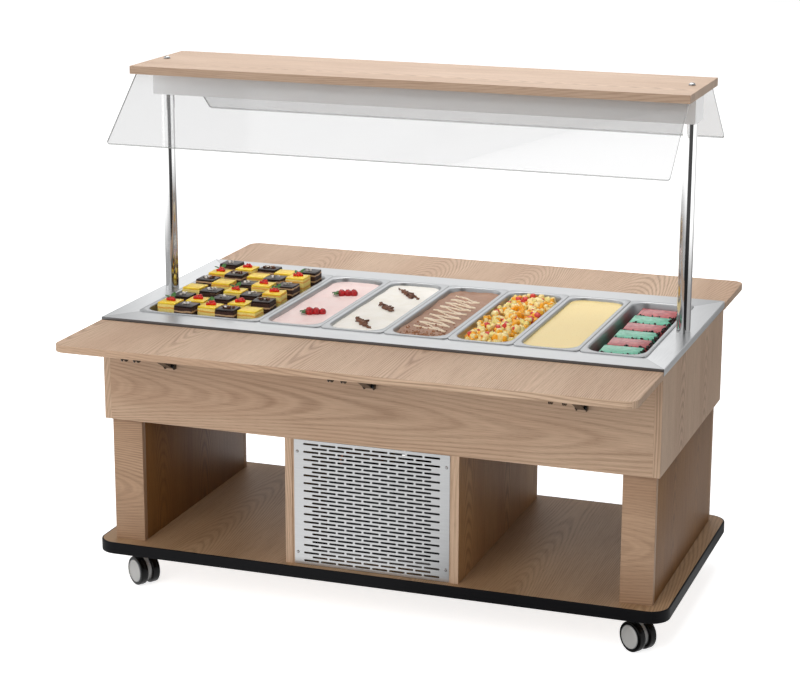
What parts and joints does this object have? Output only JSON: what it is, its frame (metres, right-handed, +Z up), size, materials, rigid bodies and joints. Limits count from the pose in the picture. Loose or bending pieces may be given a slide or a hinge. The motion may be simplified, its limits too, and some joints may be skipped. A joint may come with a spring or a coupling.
{
  "type": "mobile salad bar",
  "caption": "Mobile salad bar: recessed cold well of lift-out pans in an oak cabinet, lit canopy with glass guards, fold-down tray slides and swivel casters",
  "frame": {"origin": "on the floor under the middle of the bar, with the wheels standing on Z = 0", "axes": "+X runs to the right along the bar, +Y to the far long side, +Z up; the near long side faces -Y"},
  "size_m": [1.476, 1.213, 1.3135],
  "materials": {
    "oak": "light oak laminate, satin",
    "board_raw": "plain board",
    "bumper": "matt black rubber",
    "steel": "brushed stainless steel",
    "grille_steel": "brushed stainless steel sheet",
    "fastener_steel": "polished steel",
    "zinc": "zinc-plated steel",
    "foam": "rigid insulating foam",
    "diffuser": "opal diffuser",
    "glass": "clear toughened glass",
    "caster_grey": "grey moulded plastic",
    "wheel": "black tyre on a light grey hub",
    "pedal": "light grey moulded plastic",
    "tray_steel": "galvanised steel",
    "compressor_black": "black enamel",
    "condenser_fins": "aluminium fins and shroud, coated black",
    "fan_plastic": "black moulded plastic",
    "copper": "bare copper",
    "control_black": "black moulded plastic",
    "rocker": "black moulded plastic"
  },
  "bodies": {
    "bar": {"base_board": "oak", "base_bumper": "bumper", "left_leg": "oak", "right_leg": "oak", "left_end_panel": "oak", "right_end_panel": "oak", "front_apron": "oak", "rear_apron": "oak", "carcass_floor": "board_raw", "compartment_boards": "oak", "front_grille": "grille_steel", "rear_grille": "grille_steel", "steel_top": "steel", "well_tub": "steel", "well_foam": "foam", "pan_bars": "steel", "canopy_posts": "steel", "light_box": "steel", "lamp_diffuser": "diffuser", "canopy_board": "oak", "front_glass": "glass", "rear_glass": "glass", "bracket_wall_plates": "steel", "caster_plates": "zinc", "unit_tray": "tray_steel", "compressor": "compressor_black", "condenser": "condenser_fins", "refrigerant_pipes": "copper", "controller": "control_black", "fasteners": "fastener_steel"},
    "front_left_swivel": {"front_left_caster_housing": "caster_grey"},
    "front_left_left_roller": {"front_left_left_wheel": "wheel"},
    "front_left_right_roller": {"front_left_right_wheel": "wheel"},
    "front_right_swivel": {"front_right_caster_housing": "caster_grey"},
    "front_right_left_roller": {"front_right_left_wheel": "wheel"},
    "front_right_right_roller": {"front_right_right_wheel": "wheel"},
    "rear_left_swivel": {"rear_left_caster_housing": "caster_grey"},
    "rear_left_left_roller": {"rear_left_left_wheel": "wheel"},
    "rear_left_right_roller": {"rear_left_right_wheel": "wheel"},
    "rear_left_pedal": {"rear_left_brake_pedal": "pedal"},
    "rear_right_swivel": {"rear_right_caster_housing": "caster_grey"},
    "rear_right_left_roller": {"rear_right_left_wheel": "wheel"},
    "rear_right_right_roller": {"rear_right_right_wheel": "wheel"},
    "rear_right_pedal": {"rear_right_brake_pedal": "pedal"},
    "front_tray": {"front_tray_slide": "oak", "front_bracket_arms": "steel"},
    "front_stays": {"front_bracket_struts": "steel"},
    "rear_tray": {"rear_tray_slide": "oak", "rear_bracket_arms": "steel"},
    "rear_stays": {"rear_bracket_struts": "steel"},
    "pan_1": {"pan_1_full_size": "steel"},
    "pan_2": {"pan_2_half_long": "steel"},
    "pan_3": {"pan_3_half_long": "steel"},
    "pan_4": {"pan_4_half_long": "steel"},
    "pan_5": {"pan_5_half_long": "steel"},
    "pan_6": {"pan_6_half_long": "steel"},
    "pan_7": {"pan_7_half_long": "steel"},
    "fan": {"condenser_fan": "fan_plastic"},
    "power_rocker": {"power_switch": "rocker"},
    "light_rocker": {"light_switch": "rocker"}
  },
  "joints": [
    {"name": "front_left_caster_turn", "type": "hinge", "parent": "bar", "child": "front_left_swivel", "pos_m": [-0.647, -0.29, 0.085], "axis": [0, 0, 1], "continuous": true},
    {"name": "front_left_left_wheel_spin", "type": "hinge", "parent": "front_left_swivel", "child": "front_left_left_roller", "pos_m": [-0.62578, -0.2841, 0.0375], "axis": [-0.5736, -0.8192, 0], "continuous": true},
    {"name": "front_left_right_wheel_spin", "type": "hinge", "parent": "front_left_swivel", "child": "front_left_right_roller", "pos_m": [-0.64528, -0.31196, 0.0375], "axis": [-0.5736, -0.8192, 0], "continuous": true},
    {"name": "front_right_caster_turn", "type": "hinge", "parent": "bar", "child": "front_right_swivel", "pos_m": [0.647, -0.29, 0.085], "axis": [0, 0, 1], "continuous": true},
    {"name": "front_right_left_wheel_spin", "type": "hinge", "parent": "front_right_swivel", "child": "front_right_left_roller", "pos_m": [0.66822, -0.2841, 0.0375], "axis": [-0.5736, -0.8192, 0], "continuous": true},
    {"name": "front_right_right_wheel_spin", "type": "hinge", "parent": "front_right_swivel", "child": "front_right_right_roller", "pos_m": [0.64872, -0.31196, 0.0375], "axis": [-0.5736, -0.8192, 0], "continuous": true},
    {"name": "rear_left_caster_turn", "type": "hinge", "parent": "bar", "child": "rear_left_swivel", "pos_m": [-0.647, 0.29, 0.085], "axis": [0, 0, 1], "continuous": true},
    {"name": "rear_left_left_wheel_spin", "type": "hinge", "parent": "rear_left_swivel", "child": "rear_left_left_roller", "pos_m": [-0.64262, 0.31158, 0.0375], "axis": [0.4695, -0.8829, 0], "continuous": true},
    {"name": "rear_left_right_wheel_spin", "type": "hinge", "parent": "rear_left_swivel", "child": "rear_left_right_roller", "pos_m": [-0.62666, 0.28156, 0.0375], "axis": [0.4695, -0.8829, 0], "continuous": true},
    {"name": "rear_left_brake_press", "type": "hinge", "parent": "rear_left_swivel", "child": "rear_left_pedal", "pos_m": [-0.62316, 0.30268, 0.08], "axis": [-0.4695, 0.8829, 0], "range_deg": [0, 10]},
    {"name": "rear_right_caster_turn", "type": "hinge", "parent": "bar", "child": "rear_right_swivel", "pos_m": [0.647, 0.29, 0.085], "axis": [0, 0, 1], "continuous": true},
    {"name": "rear_right_left_wheel_spin", "type": "hinge", "parent": "rear_right_swivel", "child": "rear_right_left_roller", "pos_m": [0.62542, 0.29438, 0.0375], "axis": [0.8829, 0.4695, 0], "continuous": true},
    {"name": "rear_right_right_wheel_spin", "type": "hinge", "parent": "rear_right_swivel", "child": "rear_right_right_roller", "pos_m": [0.65544, 0.31034, 0.0375], "axis": [0.8829, 0.4695, 0], "continuous": true},
    {"name": "rear_right_brake_press", "type": "hinge", "parent": "rear_right_swivel", "child": "rear_right_pedal", "pos_m": [0.63432, 0.31384, 0.08], "axis": [-0.8829, -0.4695, 0], "range_deg": [0, 10]},
    {"name": "front_tray_fold", "type": "hinge", "parent": "bar", "child": "front_tray", "pos_m": [0, -0.3585, 0.6715], "axis": [1, 0, 0], "range_deg": [0, 90]},
    {"name": "front_stay_swing", "type": "hinge", "parent": "bar", "child": "front_stays", "pos_m": [0, -0.3585, 0.602], "axis": [1, 0, 0], "range_deg": [0, 118.64]},
    {"name": "rear_tray_fold", "type": "hinge", "parent": "bar", "child": "rear_tray", "pos_m": [0, 0.3585, 0.6715], "axis": [-1, 0, 0], "range_deg": [0, 90]},
    {"name": "rear_stay_swing", "type": "hinge", "parent": "bar", "child": "rear_stays", "pos_m": [0, 0.3585, 0.602], "axis": [-1, 0, 0], "range_deg": [0, 118.64]},
    {"name": "pan_1_lift", "type": "slide", "parent": "bar", "child": "pan_1", "axis": [0, 0, 1], "range_m": [0, 0.2]},
    {"name": "pan_2_lift", "type": "slide", "parent": "bar", "child": "pan_2", "axis": [0, 0, 1], "range_m": [0, 0.2]},
    {"name": "pan_3_lift", "type": "slide", "parent": "bar", "child": "pan_3", "axis": [0, 0, 1], "range_m": [0, 0.2]},
    {"name": "pan_4_lift", "type": "slide", "parent": "bar", "child": "pan_4", "axis": [0, 0, 1], "range_m": [0, 0.2]},
    {"name": "pan_5_lift", "type": "slide", "parent": "bar", "child": "pan_5", "axis": [0, 0, 1], "range_m": [0, 0.2]},
    {"name": "pan_6_lift", "type": "slide", "parent": "bar", "child": "pan_6", "axis": [0, 0, 1], "range_m": [0, 0.2]},
    {"name": "pan_7_lift", "type": "slide", "parent": "bar", "child": "pan_7", "axis": [0, 0, 1], "range_m": [0, 0.2]},
    {"name": "fan_spin", "type": "hinge", "parent": "bar", "child": "fan", "pos_m": [0, -0.2015, 0.242], "axis": [0, 1, 0], "continuous": true},
    {"name": "power_switch_rock", "type": "hinge", "parent": "bar", "child": "power_rocker", "pos_m": [-0.075, 0.3415, 0.403], "axis": [1, 0, 0], "range_deg": [0, 16]},
    {"name": "light_switch_rock", "type": "hinge", "parent": "bar", "child": "light_rocker", "pos_m": [0.075, 0.3415, 0.403], "axis": [1, 0, 0], "range_deg": [0, 16]}
  ],
  "couplings": [
    {"joint": "front_stay_swing", "follows": "front_tray_fold", "ratio": 1.3182},
    {"joint": "rear_stay_swing", "follows": "rear_tray_fold", "ratio": 1.3182}
  ]
}
